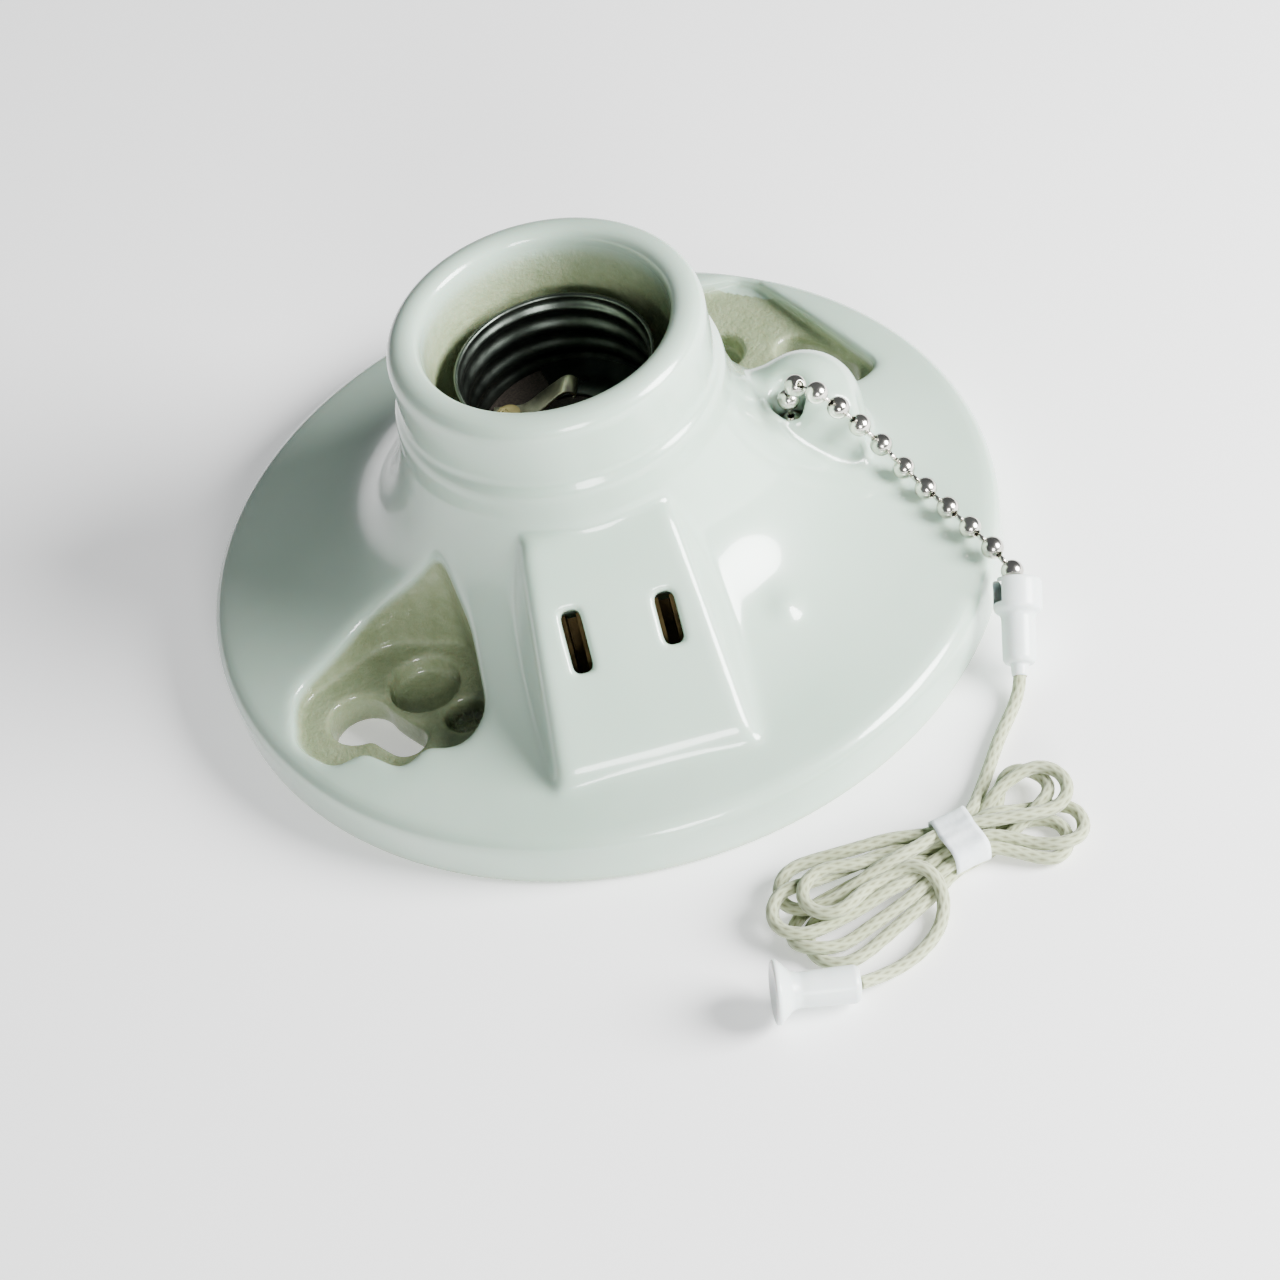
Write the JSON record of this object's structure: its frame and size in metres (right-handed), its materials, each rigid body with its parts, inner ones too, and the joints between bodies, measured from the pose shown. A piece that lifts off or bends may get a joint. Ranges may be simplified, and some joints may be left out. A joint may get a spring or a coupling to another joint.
{
  "type": "pull-chain ceiling lampholder with side outlet",
  "caption": "Round porcelain ceiling lampholder with a screw shell, a two-slot side outlet and a pull-chain switch that ends in a bundled cord.",
  "frame": {"origin": "centre of the back plane, on the lamp socket's axis", "axes": "+Z along the socket's axis towards the lamp, -Y towards the outlet, +X towards the chain"},
  "size_m": [0.1143, 0.1457, 0.05],
  "materials": {
    "porcelain": "white glazed porcelain with a faint green tint",
    "shell": "plated sheet metal, dulled",
    "plated_brass": "tin-plated, satin",
    "brass": "bare brass strip, satin",
    "fibre": "vulcanised fibre, matte",
    "drum": "moulded phenolic, matte",
    "steel": "zinc-plated steel",
    "chain": "nickel-plated beads, polished",
    "white_plastic": "white moulded plastic",
    "cord": "braided cotton, cream",
    "paper": "white paper band"
  },
  "bodies": {
    "housing": {"porcelain_body": "porcelain", "screw_shell": "shell", "shell_insulator": "fibre", "shell_screws": "brass", "centre_contact": "brass", "centre_rivet": "brass", "lamp_strap": "brass", "outlet_contact_neutral": "brass", "outlet_contact_hot": "brass", "neutral_bus": "plated_brass", "hot_bus": "brass", "outlet_cover": "fibre", "outlet_cover_screw": "steel", "switch_bracket": "steel", "pivot_pin": "steel", "bracket_screws": "steel", "line_leaf": "brass", "lamp_leaf": "brass", "return_spring": "steel", "switch_cover": "fibre", "switch_cover_screws": "steel"},
    "pull": {"outer_chain": "chain", "chain_coupling": "white_plastic", "pull_cord": "cord", "cord_hank": "cord", "cord_tail": "cord", "cord_band": "paper", "pull_end": "white_plastic"},
    "inner_chain": {"inner_chain": "chain"},
    "link_1": {"chain_link_1": "chain"},
    "link_2": {"chain_link_2": "chain"},
    "link_3": {"chain_link_3": "chain"},
    "link_4": {"chain_link_4": "chain"},
    "link_5": {"chain_link_5": "chain"},
    "link_6": {"chain_link_6": "chain"},
    "link_7": {"chain_link_7": "chain"},
    "link_8": {"chain_link_8": "chain"},
    "lever": {"pull_lever": "steel", "pawl": "brass"},
    "rotor": {"ratchet_wheel": "steel", "contact_drum": "drum", "moving_contact": "brass"},
    "neutral_screw": {"terminal_screw_neutral": "plated_brass"},
    "hot_screw": {"terminal_screw_hot": "brass"}
  },
  "joints": [
    {"name": "cord_pull", "type": "slide", "parent": "housing", "child": "pull", "axis": [0.4271, -0.9042, 0], "range_m": [0, 0.007], "stiffness_N_per_m": 300, "springref_m": -0.01},
    {"name": "chain_lift", "type": "slide", "parent": "housing", "child": "inner_chain", "axis": [0, 0, 1], "range_m": [0, 0.007]},
    {"name": "link_1_turn", "type": "hinge", "parent": "housing", "child": "link_1", "pos_m": [0.03501, -0.00833, 0.0205], "axis": [0.8965, 0.443, 0.0001], "range_deg": [0, 37.36]},
    {"name": "link_2_turn", "type": "hinge", "parent": "housing", "child": "link_2", "pos_m": [0.03416, -0.00482, 0.02185], "axis": [0.8434, 0.5361, 0.0354], "range_deg": [0, 56.32]},
    {"name": "link_3_turn", "type": "hinge", "parent": "housing", "child": "link_3", "pos_m": [0.0336, -0.00249, 0.02597], "axis": [0.6899, 0.6125, 0.3859], "range_deg": [0, 139.39]},
    {"name": "link_4_turn", "type": "hinge", "parent": "housing", "child": "link_4", "pos_m": [0.01809, 0.01874, 0.01349], "axis": [0.6178, 0.6772, 0.3995], "range_deg": [0, 12.48]},
    {"name": "link_5_turn", "type": "hinge", "parent": "housing", "child": "link_5", "pos_m": [0.03484, -0.04803, 0.02392], "axis": [-0.846, 0.0388, -0.5318], "range_deg": [0, 9.24]},
    {"name": "link_6_turn", "type": "hinge", "parent": "housing", "child": "link_6", "pos_m": [0.03921, -0.02485, 0.02214], "axis": [-0.8555, -0.0514, -0.5152], "range_deg": [0, 19.95]},
    {"name": "link_7_turn", "type": "hinge", "parent": "housing", "child": "link_7", "pos_m": [0.04294, -0.01142, 0.0184], "axis": [-0.863, -0.3412, -0.3725], "range_deg": [0, 63.33]},
    {"name": "link_8_turn", "type": "hinge", "parent": "housing", "child": "link_8", "pos_m": [0.03884, -0.02185, 0.0507], "axis": [-0.8829, -0.3899, -0.2616], "range_deg": [0, 9.96]},
    {"name": "lever_swing", "type": "hinge", "parent": "housing", "child": "lever", "pos_m": [0.0198, 0.0012, 0.0076], "axis": [0, -1, 0], "range_deg": [0, 36.97]},
    {"name": "rotor_step", "type": "hinge", "parent": "housing", "child": "rotor", "pos_m": [0.0198, 0.0012, 0.0076], "axis": [0, -1, 0], "range_deg": [0, 45.1]},
    {"name": "neutral_terminal_turn", "type": "hinge", "parent": "housing", "child": "neutral_screw", "pos_m": [-0.01, 0.0305, 0.0049], "axis": [0, 0, 1], "continuous": true},
    {"name": "hot_terminal_turn", "type": "hinge", "parent": "housing", "child": "hot_screw", "pos_m": [0.01, 0.0305, 0.0049], "axis": [0, 0, 1], "continuous": true}
  ],
  "couplings": [
    {"joint": "chain_lift", "follows": "cord_pull", "ratio": 1},
    {"joint": "link_1_turn", "follows": "cord_pull", "rad_per_m": 92.724},
    {"joint": "link_2_turn", "follows": "cord_pull", "rad_per_m": 139.81},
    {"joint": "link_3_turn", "follows": "cord_pull", "rad_per_m": 346.11},
    {"joint": "link_4_turn", "follows": "cord_pull", "rad_per_m": 30.956},
    {"joint": "link_5_turn", "follows": "cord_pull", "rad_per_m": 22.901},
    {"joint": "link_6_turn", "follows": "cord_pull", "rad_per_m": 49.502},
    {"joint": "link_7_turn", "follows": "cord_pull", "rad_per_m": 157.22},
    {"joint": "link_8_turn", "follows": "cord_pull", "rad_per_m": 24.686},
    {"joint": "lever_swing", "follows": "cord_pull", "rad_per_m": 91.929},
    {"joint": "rotor_step", "follows": "cord_pull", "rad_per_m": 112.2}
  ]
}
